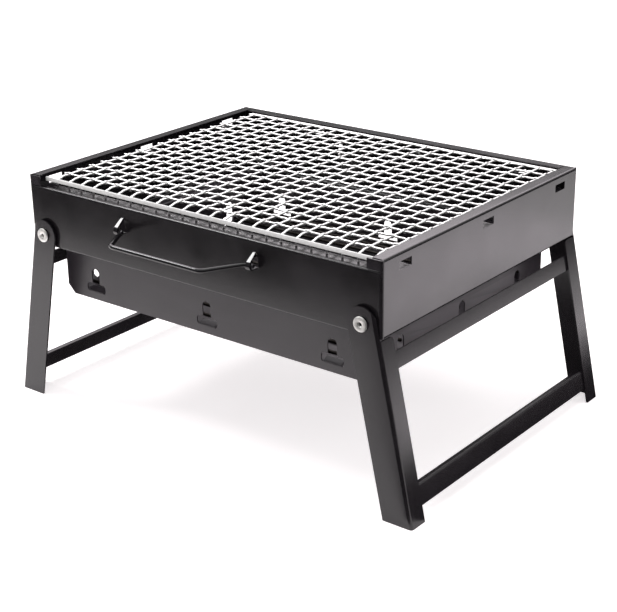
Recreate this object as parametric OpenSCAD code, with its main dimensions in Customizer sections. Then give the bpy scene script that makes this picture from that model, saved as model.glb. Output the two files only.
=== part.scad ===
// Folding charcoal camp grill: a sheet-steel frame on two folding leg pairs, with a
// charcoal box that drops out below the frame and a woven wire cooking grate on top.
// Millimetres, +Z up, origin at the centre of the footprint on the floor. X is the
// long axis and -Y is the front, the side of the lowered wall. Each module below is
// one named piece; the last section draws either all of them or the one in `node`.

/* [Frame] */
// Outer length of the frame along X
frame_w = 350; // [300:1:420]
// Outer depth of the frame along Y
frame_d = 270; // [230:1:320]
// Height of the frame's top rim above the floor when the legs are open
top_h = 196; // [190:0.5:205]
// Height of the frame's side walls
wall_h = 58; // [54:0.5:62]
// Thickness of the frame's sheet
sheet = 1.0; // [0.8:0.1:1.4]
// How far the front wall's rim sits below the side walls' rim
front_drop = 8.5; // [4:0.5:12]
// Width of the inward flange along the top of the side and back walls
top_flange = 10; // [6:0.5:12]
// Width of the inward flange along the top of the lowered front wall
front_flange = 12; // [8:0.5:12.5]
// Width of the inward lip along the bottom of the side walls, which carries the box
bottom_lip = 14; // [12.5:0.5:15]
// Width of the bottom lip on the front and back walls
bottom_lip_fb = 9; // [6:0.5:12]

/* [Side vents] */
// Length of each lanced vent in the frame's side walls
vent_l = 15; // [10:0.5:20]
// Height of each lanced vent
vent_h = 6.2; // [4:0.1:7]
// Depth of the vent's centre below the rim
vent_drop = 9.6; // [9:0.1:12]
// Distance between neighbouring vents along Y
vent_pitch = 107.5; // [60:0.5:110]
// How far the lanced tab of a vent is bent into the frame
vent_tab = 8; // [4:0.5:9]

/* [Legs] */
// Distance of each leg rivet from the middle of the grill, along X
pivot_x = 159.5; // [155:0.5:161]
// Height of the leg rivets above the frame's bottom edge
pivot_up = 9.8; // [9:0.1:14]
// Outward lean of the open legs, in degrees
lean = 12; // [11.5:0.1:14]
// Width of a leg's web
leg_w = 25; // [22:0.5:25]
// Width of a leg's inward flange, over the web's thickness
leg_flange = 16.8; // [12:0.1:17]
// Thickness of the leg sheet
leg_t = 1.5; // [1:0.1:1.6]
// Where the leg's flange starts, along the leg from the rivet
flange_start = 13.6; // [13.4:0.1:24]
// Upper edge of the upper crossbar, along the leg from the rivet
bar1_s = 25.5; // [22:0.5:30]
// Upper edge of the lower crossbar, along the leg from the rivet
bar2_s = 125; // [100:0.5:128]
// Height of the upper crossbar
bar1_h = 13; // [10:0.5:14]
// Height of the lower crossbar
bar2_h = 17; // [12:0.5:17.5]
// Thickness of the crossbar sheet
bar_t = 1.2; // [1:0.1:1.2]

/* [Rivets] */
// Radius of a rivet's shank
rivet_r = 3.0; // [2.5:0.05:3.5]
// Radius of a rivet's rolled head
rivet_head_r = 5.8; // [5:0.1:7]
// Radius of the hole through a tubular rivet
rivet_bore_r = 1.7; // [1:0.1:2]
// Radial clearance of the leg on its rivet
rivet_clear = 0.05; // [0.02:0.01:0.1]

/* [Charcoal box] */
// Outer length of the charcoal box along X
box_w = 308; // [290:1:308]
// Outer depth of the charcoal box along Y
box_d = 241; // [220:0.5:241]
// Height of the box's bottom above the floor
box_z = 94.5; // [94.5:0.5:110]
// Size of the bevel along the box's left and right bottom edges
box_bevel = 7; // [7:0.5:9]
// Thickness of the box sheet
box_t = 1.0; // [0.8:0.1:1]
// Width of the hanging lip along the box's left and right top edges
box_lip = 9; // [6:0.5:9]
// Distance between neighbouring vents of the box's front and back
slot_pitch = 121; // [80:1:121]
// Distance between neighbouring vents of the box's sides
slot_pitch_side = 82; // [60:1:82]
// Length of a box vent's level slot
slot_l = 20.8; // [12:0.2:24]
// Height of a box vent's level slot
slot_h = 7.6; // [5:0.2:9]
// Width of a box vent's upright tongue
tongue_w = 8.4; // [5:0.2:10]
// Height of a box vent's upright tongue above the level slot
tongue_h = 13; // [8:0.5:16]

/* [Charcoal grid] */
// Height of the charcoal grid's lower rods above the outside of the box bottom
grid_up = 8; // [6:0.5:14]
// Diameter of the charcoal grid's rods
grid_wire = 3; // [2.5:0.1:4]
// Number of long rods in the charcoal grid
grid_rods = 15; // [9:1:19]

/* [Cooking grate] */
// Diameter of the woven grate wires
mesh_wire = 2.0; // [1.6:0.1:2.2]
// Pitch of the grate wires
mesh_pitch = 13.65; // [10:0.05:16]
// Number of wires that run front to back
mesh_nx = 24; // [12:1:24]
// Number of wires that run side to side
mesh_ny = 19; // [10:1:19]
// Sideways offset of the grate in the frame
mesh_dx = 4.5; // [-5:0.5:5]
// Height of the grate's front edge strip
strip_h = 3.4; // [2:0.2:3.6]

/* [Handles] */
// Diameter of the handle wire
handle_wire = 3.6; // [3:0.1:4.5]
// Half the length of a handle's grip bar
grip_half = 45; // [35:1:55]
// Half the distance between the feet of a handle's arms
arm_half = 62; // [50:1:70]
// Reach of a handle from its pivot line to the grip
handle_reach = 30; // [20:0.5:34]
// Height of the handle pivots below the rim
handle_drop = 26; // [20:0.5:30]
// Sideways offset of the front handle
handle_dx = -4; // [-8:1:8]

/* [Hidden] */
$fn = 40;
zf = top_h - wall_h;                 // frame's bottom edge
hx = frame_w / 2;
hy = frame_d / 2;
pivot_z = zf + pivot_up;
bx = box_w / 2;
by = box_d / 2;
washer_t = 1.2;
gap = 0.35;                          // play between pieces that move past each other
web_y0 = hy + washer_t + gap;        // inner face of a leg's web, from the middle
web_y1 = web_y0 + leg_t;
box_top = zf + sheet + gap + box_t;  // top of the box's hanging lip
front_top = top_h - front_drop;
mesh_z = top_h - 3.3;                // centre of the lower layer of grate wires
strip_t = 1.2;                       // thickness of the grate's front strip
lug_y = 5.4;                         // handle pivot line, out from the wall
lug_r = 3.3;
handle_z = top_h - handle_drop;
pin_r = handle_wire / 2;
grid_z = box_z + grid_up;
nl = grid_rods;
bend = 2.2;                          // outer radius of the folded vertical corners
front_y0 = -hy + 8;                  // grate's front strip
tip_y = front_y0 + strip_t + mesh_wire / 2;  // where the wires' front ends turn down
end_z = front_top + 0.6;             // foot of those ends
end_gap = 0.05;
back_tip = 123;                      // back ends of the grate wires
e = 0.01;
wire_bend = 3.5;                       // centre-line radius of the bends in a handle
// corners of a handle's wire, from pin to pin
hp = [[-arm_half - 8.2, 0], [-arm_half, 0], [-grip_half, -handle_reach],
    [grip_half, -handle_reach], [arm_half, 0], [arm_half + 8.2, 0]];

// ---------- helpers ----------

// A block between two corners
module block(a, b) { translate(a) cube([b[0] - a[0], b[1] - a[1], b[2] - a[2]]); }

// Children at +1 and -1 along X
module both_x() { children(); mirror([1, 0, 0]) children(); }

// Puts a flat shape drawn in the X-Z plane into a slab from y = y0 to y0 + t
module slab_y(y0, t) { translate([0, y0 + t, 0]) rotate([90, 0, 0]) linear_extrude(t) children(); }

// Puts a flat shape drawn in the Y-Z plane into a slab from x = x0 to x0 + t
module slab_x(x0, t) { translate([x0, 0, 0]) rotate([90, 0, 90]) linear_extrude(t) children(); }

// A slot with rounded ends
module slot2(l, h, r) { offset(r = r) square([l - 2 * r, h - 2 * r], center = true); }

// A straight wire between two points along X or Y
module wire_x(x0, x1, y, z, r) { translate([x0, y, z]) rotate([0, 90, 0]) cylinder(r = r, h = x1 - x0, $fn = 16); }
module wire_y(y0, y1, x, z, r) { translate([x, y0, z]) rotate([-90, 0, 0]) cylinder(r = r, h = y1 - y0, $fn = 16); }

// ---------- frame ----------

// The two rivet holes through a front or back wall
module wall_holes(y0) {
    both_x() translate([pivot_x, y0 - 2, pivot_z]) rotate([-90, 0, 0]) cylinder(r = rivet_r, h = 5);
}

// Back wall between the side walls' corner bends: sheet, top flange and bottom lip
module frame_back_wall() color("#1c1a1c") {
    w = hx - bend;
    difference() {
        union() {
            block([-w, hy - sheet, zf], [w, hy, top_h]);
            block([-hx + top_flange + 1, hy - top_flange, top_h - sheet], [hx - top_flange - 1, hy - sheet + e, top_h]);
            block([-hx + bottom_lip + 2, hy - bottom_lip_fb, zf], [hx - bottom_lip - 2, hy - sheet + e, zf + sheet]);
            for (i = [-1:1])                // lanced rests for the grate's back edge
                block([i * 105 + 10, by + 0.9, mesh_z - mesh_wire / 2 - 1.15], [i * 105 + 24, hy - sheet + e, mesh_z - mesh_wire / 2 - 0.35]);
        }
        wall_holes(hy - 1);
    }
}

// Lowered front wall: sheet, inward flange that the grate stands on, bottom lip
module frame_front_wall() color("#1c1a1c") {
    w = hx - bend;
    difference() {
        union() {
            block([-w, -hy, zf], [w, -hy + sheet, front_top]);
            block([-w + 1.5, -hy + sheet - e, front_top - sheet], [w - 1.5, -hy + front_flange, front_top]);
            block([-hx + bottom_lip + 2, -hy + sheet - e, zf], [hx - bottom_lip - 2, -hy + bottom_lip_fb, zf + sheet]);
        }
        wall_holes(-hy - 1);
    }
}

// Right side wall: sheet, rounded corner returns, top flange, bottom lip and three vents
// with their lanced tabs; the returns stand full height beside the lowered front wall
module side_wall() {
    zc = top_h - vent_drop;
    difference() {
        union() {
            translate([0, 0, zf]) linear_extrude(wall_h) difference() {
                union() {
                    translate([hx - sheet, -hy + bend]) square([sheet, frame_d - 2 * bend]);
                    for (s = [-1, 1]) intersection() {
                        translate([hx - bend, s * (hy - bend)]) difference() {
                            circle(r = bend);
                            circle(r = bend - sheet);
                        }
                        translate([hx - bend, s > 0 ? hy - bend : -hy]) square(bend);
                    }
                }
            }
            // corner return above the end of the lowered front wall
            block([hx - 13, -hy, front_top + 0.4], [hx - bend + e, -hy + sheet, top_h]);
            block([hx - top_flange, -hy + sheet - e, top_h - sheet], [hx - sheet + e, hy - 2 * sheet, top_h]);
            block([hx - bottom_lip, -hy + sheet + 2, zf], [hx - sheet + e, hy - sheet - 2, zf + sheet]);
            for (i = [-1:1])
                block([hx - sheet - vent_tab, i * vent_pitch - vent_l / 2 + 1, zc - vent_h / 2 - sheet], [hx - sheet + e, i * vent_pitch + vent_l / 2 - 1, zc - vent_h / 2]);
        }
        for (i = [-1:1]) translate([hx - sheet / 2, i * vent_pitch, zc]) cube([3, vent_l, vent_h], center = true);
        // bend-relief notches at the two corners of the front end
        translate([hx - bend, -hy - 1, front_top - 5.5]) cube([1.6, 2.2, 1.6]);
    }
}
module frame_right_wall() color("#1c1a1c") side_wall();
module frame_left_wall() color("#1c1a1c") mirror([1, 0, 0]) side_wall();

// Tubular rivets: a rolled ring head outside, a shank through leg, washer and wall, and a
// flared collar inside
module rivet_at(sy) {
    head0 = web_y1 + gap;
    translate([0, sy * hy, pivot_z]) rotate([sy > 0 ? -90 : 90, 0, 0]) rotate_extrude($fn = 48) difference() {
        union() {
            translate([0, -sheet - 0.9]) square([rivet_r, head0 - hy + sheet + 0.9 + 0.5]);
            translate([0, -sheet - 0.9]) square([rivet_r + 1.3, 0.9]);
            translate([0, head0 - hy]) square([rivet_head_r - 0.8, 1.6]);
            translate([rivet_head_r - 0.8, head0 - hy + 0.8]) circle(r = 0.8, $fn = 16);
        }
        translate([0, -sheet - 2]) square([rivet_bore_r, 12]);
        translate([0, head0 - hy + 1.3]) square([rivet_bore_r + 1.1, 2]);
        translate([-9, -10]) square([9, 30]);
    }
}
module leg_pivot_rivets() color("#d8d8d4") both_x() for (sy = [-1, 1]) translate([pivot_x, 0, 0]) rivet_at(sy);

// Washers that hold the legs off the frame
module leg_washers() color("#8a888a") both_x() for (sy = [-1, 1])
    translate([pivot_x, sy > 0 ? hy : -hy - washer_t, pivot_z]) rotate([-90, 0, 0]) difference() {
        cylinder(r = 6.5, h = washer_t);
        translate([0, 0, -1]) cylinder(r = rivet_r, h = washer_t + 2);
    }

// Point where the line from p touches the circle of radius r round c, on side s (+1 or -1)
function touch(p, c, r, s) = let (d = p - c, a = atan2(d[1], d[0]) + s * acos(r / norm(d))) c + r * [cos(a), sin(a)];

// Handle lugs: two tall tapered loops pressed out of a wall, each with a cross hole
module lug() {
    c = [-lug_y, 0];
    difference() {
        rotate([90, 0, 90]) translate([0, 0, -2.4]) linear_extrude(4.8) {
            polygon([[0, 9.2], [-0.5, 9.2], touch([-0.5, 9.2], c, lug_r, 1), c, touch([-0.5, -3.6], c, lug_r, -1), [-0.5, -3.6], [0, -3.6]]);
            translate(c) circle(r = lug_r, $fn = 32);
        }
        translate([-4, -lug_y, 0]) rotate([0, 90, 0]) cylinder(r = pin_r + 0.05, h = 8, $fn = 32);
    }
}
module lugs(dx) for (s = [-1, 1]) translate([dx + s * (arm_half + 4.6), -hy, handle_z]) lug();
module front_handle_lugs() color("#2a282a") lugs(handle_dx);
module back_handle_lugs() color("#2a282a") rotate([0, 0, 180]) lugs(handle_dx);

// ---------- legs ----------

// Takes a shape drawn along a hanging leg (S down the leg, N outward) to the open right leg
module leg_place() translate([pivot_x, 0, pivot_z]) rotate([0, -lean, 0]) mirror([0, 0, 1]) children();

// Cuts everything below the floor
module floor_cut() difference() {
    children();
    translate([0, 0, -50]) cube([1000, 1000, 100], center = true);
}

// Right front leg: web with a round top, inward flange along the outer edge, level foot
module leg() {
    l = pivot_z / cos(lean) + 12;
    floor_cut() difference() {
        leg_place() {
            slab_y(-web_y1, leg_t) {
                circle(r = leg_w / 2, $fn = 64);
                translate([-leg_w / 2, 0]) square([leg_w, l]);
            }
            difference() {
                block([leg_w / 2 - leg_t, -web_y1 + e, flange_start], [leg_w / 2, -web_y1 + leg_flange, l]);
                // rounded start of the flange
                translate([0, -web_y1 + leg_flange, flange_start]) difference() {
                    translate([0, -6, -1]) cube([leg_w, 7, 7]);
                    translate([0, -6, 6]) rotate([0, 90, 0]) cylinder(r = 6, h = leg_w);
                }
            }
        }
        translate([pivot_x, 0, pivot_z]) rotate([90, 0, 0]) cylinder(r = rivet_r + rivet_clear, h = 400, $fn = 48);
    }
}
module right_front_leg() color("#242224") leg();
module right_back_leg() color("#242224") mirror([0, 1, 0]) leg();
module left_front_leg() color("#242224") mirror([1, 0, 0]) leg();
module left_back_leg() color("#242224") rotate([0, 0, 180]) leg();

// A crossbar: a strip laid on the inside of the two flanges; a lipped one has its upper
// edge folded inward
module crossbar(s0, h, lipped) {
    n1 = leg_w / 2 - leg_t;
    yb = hy - bottom_lip_fb - 0.6;       // passes between the frame's bottom lips
    leg_place() {
        block([n1 - bar_t, -yb, s0], [n1, yb, s0 + h]);
        if (lipped) block([n1 - 4.5, -yb + 5, s0], [n1 - bar_t + e, yb - 5, s0 + bar_t]);
    }
}
module right_upper_crossbar() color("#302d30") crossbar(bar1_s, bar1_h, false);
module right_lower_crossbar() color("#302d30") crossbar(bar2_s, bar2_h, true);
module left_upper_crossbar() color("#302d30") mirror([1, 0, 0]) crossbar(bar1_s, bar1_h, false);
module left_lower_crossbar() color("#302d30") mirror([1, 0, 0]) crossbar(bar2_s, bar2_h, true);

// ---------- charcoal box ----------

// A box vent: an upright tongue with a round top over a level slot
module vent2() {
    translate([0, slot_h / 2]) slot2(slot_l, slot_h, 2.6);
    translate([-tongue_w / 2, slot_h / 2]) square([tongue_w, slot_h / 2 + tongue_h - tongue_w / 2]);
    translate([0, slot_h + tongue_h - tongue_w / 2]) circle(d = tongue_w);
}

// Front panel: bevelled lower corners and three vents
module box_front() slab_y(-by, box_t) difference() {
    polygon([[-bx, box_z + box_bevel], [-bx + box_bevel, box_z], [bx - box_bevel, box_z], [bx, box_z + box_bevel], [bx, box_top], [-bx, box_top]]);
    for (i = [-1:1]) translate([i * slot_pitch, box_z + 6.2]) vent2();
}
module box_front_panel() color("#4a464a") box_front();
module box_back_panel() color("#4a464a") mirror([0, 1, 0]) box_front();

// Right side panel: upright sheet with vents, the bevelled lower edge and the hanging lip
module box_side() {
    y1 = by - box_t;
    difference() {
        union() {
            block([bx - box_t, -y1, box_z + box_bevel], [bx, y1, box_top]);
            rotate([90, 0, 0]) translate([0, 0, -y1]) linear_extrude(2 * y1)
                polygon([[bx - box_bevel, box_z], [bx, box_z + box_bevel], [bx, box_z + box_bevel + e],
                    [bx - box_t, box_z + box_bevel + 0.4], [bx - box_bevel - 0.4, box_z + box_t]]);
        }
        slab_x(bx - box_bevel - 2, box_bevel + 4)
            for (i = [-1:1]) translate([i * slot_pitch_side, box_z + 4.2]) vent2();
    }
    block([bx - e, -by + 6, box_top - box_t], [bx + box_lip, by - 6, box_top]);
}
module box_right_panel() color("#4a464a") box_side();
module box_left_panel() color("#4a464a") mirror([1, 0, 0]) box_side();

// Bottom pan with pressed stiffening ribs
module box_bottom() color("#3a373a") {
    x1 = bx - box_bevel - 0.4;
    block([-x1, -by + box_t, box_z], [x1, by - box_t, box_z + box_t]);
    for (x = [-90, 0, 90]) translate([x, 0, box_z + box_t]) rotate([90, 0, 0])
        translate([0, 0, -80]) linear_extrude(160) polygon([[-5, -e], [5, -e], [3, 1.6], [-3, 1.6]]);
}

// Small lanced rests inside the front and back panels that carry the charcoal grid
module box_grid_rests() color("#3a373a") for (sy = [-1, 1], x = [-70, 70])
    block([x - 6, sy > 0 ? by - 7 : -by + box_t, grid_z - grid_wire / 2 - 1.35], [x + 6, sy > 0 ? by - box_t : -by + 7, grid_z - grid_wire / 2 - 0.35]);

// Charcoal grid: two bearers under a row of rods
module charcoal_grid_bearers() color("#4c4a4a") for (s = [-1, 1])
    wire_y(-by + 3, by - 3, s * 70, grid_z, grid_wire / 2);
module charcoal_grid_rods() color("#4c4a4a") for (i = [0:nl - 1])
    wire_x(-bx + 12, bx - 12, (i - (nl - 1) / 2) * (box_d - 18) / (nl - 1), grid_z + grid_wire, grid_wire / 2);

// ---------- cooking grate ----------

mx0 = mesh_dx - (mesh_nx - 1) / 2 * mesh_pitch;  // first of the front-to-back wires
my0 = -125.4;                          // line of the strip, where the rows are counted from

// Wires that run front to back, in the lower layer; their front ends turn down behind the
// strip, over the front wall's flange. Each end is drawn as a solid of its own, end_gap
// below its wire, so that both are plain cylinders
module grate_cross_wires() color("#e4e4e0") for (i = [0:mesh_nx - 1]) {
    x = mx0 + i * mesh_pitch;
    wire_y(front_y0 + strip_t, back_tip, x, mesh_z, mesh_wire / 2);
    translate([x, tip_y, end_z]) cylinder(d = mesh_wire - 0.1, h = mesh_z - mesh_wire / 2 - end_gap - end_z);
}

// Wires that run side to side, in the upper layer
module grate_long_wires() color("#e4e4e0") for (i = [1:mesh_ny - 1])
    wire_x(mx0 - 5.5, mx0 + (mesh_nx - 1) * mesh_pitch + 3, my0 + i * mesh_pitch, mesh_z + mesh_wire, mesh_wire / 2);

// Upright strip welded along the front ends of the wires, which reaches as far as the left
// wall's top flange
module grate_front_strip() color("#ececea") {
    x0 = -hx + top_flange + 0.8; x1 = mx0 + (mesh_nx - 1) * mesh_pitch + 3;
    block([x0, front_y0, mesh_z + mesh_wire / 2 - strip_h], [x1, front_y0 + strip_t, mesh_z + mesh_wire / 2]);
}

// Flat bar along the back ends of the front-to-back wires
module grate_back_rod() color("#e4e4e0") {
    x0 = mx0 - 4; x1 = mx0 + (mesh_nx - 1) * mesh_pitch + 3;
    block([x0, back_tip - 1.5, mesh_z + mesh_wire / 2], [x1, back_tip, mesh_z + mesh_wire / 2 + 1.2]);
}

// ---------- handles ----------

// Unit vector and length of bend taken off a run at a corner between two runs
function unit(v) = v / norm(v);
function turn(a, b, c) = let (u = unit(b - a), v = unit(c - b)) atan2(u[0] * v[1] - u[1] * v[0], u * v);
function cut_off(a, b, c) = wire_bend * tan(abs(turn(a, b, c)) / 2);

// Straight run i of a handle's wire, shortened by the bends at its ends, which it
// enters by 0.3 mm
module handle_run(i) {
    a = hp[i]; b = hp[i + 1]; u = unit(b - a);
    t0 = i > 0 ? cut_off(hp[i - 1], a, b) - 0.3 : 0;
    t1 = i < 4 ? cut_off(a, b, hp[i + 2]) - 0.3 : 0;
    translate([a[0] + u[0] * t0, a[1] + u[1] * t0, 0]) rotate([0, 0, atan2(u[1], u[0])]) rotate([0, 90, 0])
        cylinder(r = pin_r, h = norm(b - a) - t0 - t1, $fn = 32);
}

// Round bend of a handle's wire at corner i
module handle_bend(i) {
    u = unit(hp[i] - hp[i - 1]); v = unit(hp[i + 1] - hp[i]);
    phi = turn(hp[i - 1], hp[i], hp[i + 1]); s = phi > 0 ? 1 : -1;
    t = cut_off(hp[i - 1], hp[i], hp[i + 1]);
    c = [hp[i][0] - u[0] * t - u[1] * wire_bend * s, hp[i][1] - u[1] * t + u[0] * wire_bend * s];
    w = s > 0 ? u : v;
    translate([c[0], c[1], 0]) rotate([0, 0, atan2(-w[0] * s, w[1] * s)])
        rotate_extrude(angle = abs(phi), $fn = 96) translate([wire_bend, 0]) circle(r = pin_r + 0.03, $fn = 32);
}

// Bail handle: grip bar, two arms that spread toward the wall, and pins through the lugs
module handle(dx) translate([dx, -hy - lug_y, handle_z]) {
    for (i = [0:4]) handle_run(i);
    for (i = [1:4]) handle_bend(i);
}
module front_handle() color("#1e1c1e") handle(handle_dx);
module back_handle() color("#1e1c1e") rotate([0, 0, 180]) handle(handle_dx);

// ---------- assembly ----------

frame_front_wall();
frame_back_wall();
frame_left_wall();
frame_right_wall();
leg_pivot_rivets();
leg_washers();
front_handle_lugs();
back_handle_lugs();
left_front_leg();
left_back_leg();
left_upper_crossbar();
left_lower_crossbar();
right_front_leg();
right_back_leg();
right_upper_crossbar();
right_lower_crossbar();
box_front_panel();
box_back_panel();
box_left_panel();
box_right_panel();
box_bottom();
box_grid_rests();
charcoal_grid_rods();
charcoal_grid_bearers();
grate_long_wires();
grate_cross_wires();
grate_front_strip();
grate_back_rod();
front_handle();
back_handle();
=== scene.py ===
"""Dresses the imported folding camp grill: sheet-steel frame, folding legs, charcoal box,
charcoal grid, woven cooking grate and wire handles, with studio floor, lights and camera.

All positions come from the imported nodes' boxes; sizes that a box can't give are fields of
the classes below, in millimetres.
"""

import logging  # noqa: E402
import math  # noqa: E402
from dataclasses import dataclass, field  # noqa: E402
from enum import Enum  # noqa: E402
from typing import Any, Callable, Iterable, Sequence  # noqa: E402

import bmesh  # noqa: E402
import bpy  # noqa: E402
from mathutils import Matrix, Vector  # noqa: E402


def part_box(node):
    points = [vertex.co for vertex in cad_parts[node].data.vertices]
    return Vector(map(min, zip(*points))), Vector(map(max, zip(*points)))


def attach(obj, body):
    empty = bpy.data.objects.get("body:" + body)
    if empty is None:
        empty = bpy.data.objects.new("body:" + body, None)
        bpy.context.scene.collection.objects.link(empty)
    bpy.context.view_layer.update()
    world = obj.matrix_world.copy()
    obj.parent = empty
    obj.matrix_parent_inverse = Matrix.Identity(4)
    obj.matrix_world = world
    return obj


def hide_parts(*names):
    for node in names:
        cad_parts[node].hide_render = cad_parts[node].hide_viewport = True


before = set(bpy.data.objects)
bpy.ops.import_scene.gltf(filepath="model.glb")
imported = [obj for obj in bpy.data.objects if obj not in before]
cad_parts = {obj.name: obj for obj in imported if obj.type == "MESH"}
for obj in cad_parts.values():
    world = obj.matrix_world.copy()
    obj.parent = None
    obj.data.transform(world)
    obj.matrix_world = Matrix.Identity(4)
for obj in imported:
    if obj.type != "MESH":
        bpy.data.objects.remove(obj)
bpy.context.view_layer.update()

LOG = logging.getLogger("camp_grill")
MM = 0.001

Point2 = tuple[float, float]
Point3 = tuple[float, float, float]


class Axis(Enum):
    """Direction along which an outline is drawn out, with the plane it is drawn in."""

    X = "YZ"
    Y = "XZ"
    Z = "XY"


class Side(Enum):
    """Left or right half of the grill, as seen from the front."""

    LEFT = -1
    RIGHT = 1


class End(Enum):
    """Front or back of the grill."""

    FRONT = -1
    BACK = 1


# ---------------------------------------------------------------- colour and nodes


def linear(code: str) -> tuple[float, float, float, float]:
    """Turns an sRGB hex colour into linear red, green, blue and alpha.

    Args:
        code: Colour such as "#1a181a".

    Returns:
        Linear colour with alpha 1.
    """
    parts = [int(code[i : i + 2], 16) / 255 for i in (1, 3, 5)]
    red, green, blue = (c / 12.92 if c <= 0.04045 else ((c + 0.055) / 1.055) ** 2.4 for c in parts)
    return (red, green, blue, 1.0)


def add_node(
    tree: bpy.types.NodeTree,
    kind: str,
    settings: dict[str, Any] | None = None,
    inputs: dict[str | int, Any] | None = None,
) -> bpy.types.Node:
    """Adds a node with its settings, values and links.

    Args:
        tree: Node tree that takes the node.
        kind: Blender's class name of the node.
        settings: Properties of the node.
        inputs: Values or linked output sockets, by input name or number.

    Returns:
        The new node.
    """
    node = tree.nodes.new(kind)
    for name, value in (settings or {}).items():
        setattr(node, name, value)
    for name, value in (inputs or {}).items():
        if isinstance(value, bpy.types.NodeSocket):
            tree.links.new(value, node.inputs[name])
        else:
            node.inputs[name].default_value = value
    return node


def set_ramp(node: bpy.types.Node, stops: Sequence[tuple[float, str]]) -> None:
    """Gives a colour ramp node its stops.

    Args:
        node: The colour ramp.
        stops: Position and sRGB hex colour of each stop.
    """
    ramp = node.color_ramp
    while len(ramp.elements) < len(stops):
        ramp.elements.new(0.5)
    for element, (place, code) in zip(ramp.elements, stops):
        element.position = place
        element.color = linear(code)


# ---------------------------------------------------------------- finishes


@dataclass(frozen=True)
class StovedEnamel:
    """Heat-resistant enamel sprayed and stoved on sheet steel: a glossy dark film with a
    faint orange-peel ripple, soft smears in its gloss and thin paler film along edges."""

    name: str
    base: str = "#0f0d0f"
    pale: str = "#171417"
    edge: str = "#2c282d"
    roughness: float = 0.2
    ripple_mm: float = 2.2
    ripple_depth: float = 0.05
    smear_mm: float = 38.0

    def make(self) -> bpy.types.Material:
        """Builds the material.

        Returns:
            The material.
        """
        material, tree, shader = blank_material(self.name)
        place = add_node(tree, "ShaderNodeTexCoord").outputs["Object"]
        cloud = add_node(
            tree,
            "ShaderNodeTexNoise",
            inputs={"Vector": place, "Scale": 1 / (self.smear_mm * MM), "Detail": 5.0, "Roughness": 0.6},
        ).outputs["Fac"]
        tone = add_node(tree, "ShaderNodeValToRGB", inputs={"Fac": cloud})
        set_ramp(tone, [(0.35, self.base), (0.68, self.pale)])
        # the film draws back from sharp edges, where the steel's grey comes nearer
        curve = add_node(tree, "ShaderNodeNewGeometry").outputs["Pointiness"]
        worn = add_node(
            tree,
            "ShaderNodeMapRange",
            inputs={"Value": curve, "From Min": 0.53, "From Max": 0.62, "To Min": 0.0, "To Max": 0.55},
        ).outputs["Result"]
        colour = add_node(
            tree,
            "ShaderNodeMix",
            {"data_type": "RGBA"},
            {"Factor": worn, 6: tone.outputs["Color"], 7: linear(self.edge)},
        ).outputs[2]
        gloss = add_node(
            tree,
            "ShaderNodeMapRange",
            inputs={
                "Value": cloud,
                "From Min": 0.3,
                "From Max": 0.7,
                "To Min": self.roughness * 0.85,
                "To Max": self.roughness * 1.2,
            },
        ).outputs["Result"]
        peel = add_node(
            tree,
            "ShaderNodeTexNoise",
            inputs={"Vector": place, "Scale": 1 / (self.ripple_mm * MM), "Detail": 2.0},
        ).outputs["Fac"]
        relief = add_node(
            tree,
            "ShaderNodeBump",
            inputs={"Height": peel, "Strength": self.ripple_depth, "Distance": 0.2 * MM},
        ).outputs["Normal"]
        tree.links.new(colour, shader.inputs["Base Color"])
        tree.links.new(gloss, shader.inputs["Roughness"])
        tree.links.new(relief, shader.inputs["Normal"])
        shader.inputs["IOR"].default_value = 1.54
        return material


@dataclass(frozen=True)
class PlatedSteel:
    """Drawn or rolled steel with a thin bright plating: it mirrors softly, with fine lines
    from the die and dull spots."""

    name: str
    base: str = "#e6e5e1"
    dull: str = "#bdbbb6"
    roughness: float = 0.28
    line_mm: float = 0.35
    line_depth: float = 0.12
    spot_mm: float = 5.0
    metal: float = 1.0

    def make(self) -> bpy.types.Material:
        """Builds the material.

        Returns:
            The material.
        """
        material, tree, shader = blank_material(self.name)
        place = add_node(tree, "ShaderNodeTexCoord").outputs["Object"]
        spots = add_node(
            tree,
            "ShaderNodeTexNoise",
            inputs={"Vector": place, "Scale": 1 / (self.spot_mm * MM), "Detail": 6.0, "Roughness": 0.65},
        ).outputs["Fac"]
        tone = add_node(tree, "ShaderNodeValToRGB", inputs={"Fac": spots})
        set_ramp(tone, [(0.34, self.dull), (0.56, self.base)])
        lines = add_node(
            tree,
            "ShaderNodeTexNoise",
            inputs={"Vector": place, "Scale": 1 / (self.line_mm * MM), "Detail": 1.0},
        ).outputs["Fac"]
        gloss = add_node(
            tree,
            "ShaderNodeMapRange",
            inputs={
                "Value": spots,
                "From Min": 0.3,
                "From Max": 0.7,
                "To Min": self.roughness * 1.35,
                "To Max": self.roughness * 0.85,
            },
        ).outputs["Result"]
        relief = add_node(
            tree,
            "ShaderNodeBump",
            inputs={"Height": lines, "Strength": self.line_depth, "Distance": 0.05 * MM},
        ).outputs["Normal"]
        tree.links.new(tone.outputs["Color"], shader.inputs["Base Color"])
        tree.links.new(gloss, shader.inputs["Roughness"])
        tree.links.new(relief, shader.inputs["Normal"])
        shader.inputs["Metallic"].default_value = self.metal
        return material


def blank_material(name: str) -> tuple[bpy.types.Material, bpy.types.NodeTree, bpy.types.Node]:
    """Makes a material that holds one principled shader.

    Args:
        name: Name of the material.

    Returns:
        The material, its node tree and the shader.
    """
    material = bpy.data.materials.new(name)
    material.use_nodes = True
    tree = material.node_tree
    tree.nodes.clear()
    shader = add_node(tree, "ShaderNodeBsdfPrincipled")
    add_node(tree, "ShaderNodeOutputMaterial", inputs={"Surface": shader.outputs["BSDF"]})
    return material, tree, shader


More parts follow.
